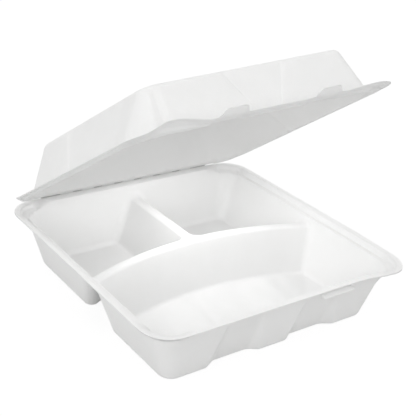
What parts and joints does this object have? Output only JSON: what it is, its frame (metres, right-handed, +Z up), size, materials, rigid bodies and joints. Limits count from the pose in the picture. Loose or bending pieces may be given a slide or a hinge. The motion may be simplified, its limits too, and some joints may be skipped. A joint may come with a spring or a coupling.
{
  "type": "hinged takeout container",
  "caption": "Square moulded-fibre food container with bowed and straight ridges between its pockets, fluted front wall, stepped rim, and a hinged domed lid with lock tabs.",
  "frame": {"origin": "on the table under the middle of the base", "axes": "+X along the hinge, to the right of someone facing the tab side; -Y towards the front with the two locks; +Z up"},
  "size_m": [0.23, 0.2313, 0.1946],
  "materials": {
    "base_fibre": "matt off-white moulded plant fibre, faintly mottled",
    "lid_fibre": "matt off-white moulded plant fibre, faintly mottled"
  },
  "bodies": {
    "base": {"base": "base_fibre"},
    "lid": {"lid": "lid_fibre"}
  },
  "joints": [
    {"name": "lid_hinge", "type": "hinge", "parent": "base", "child": "lid", "pos_m": [0, 0.1157, 0.04915], "axis": [-1, 0, 0], "range_deg": [-33, 147]}
  ]
}
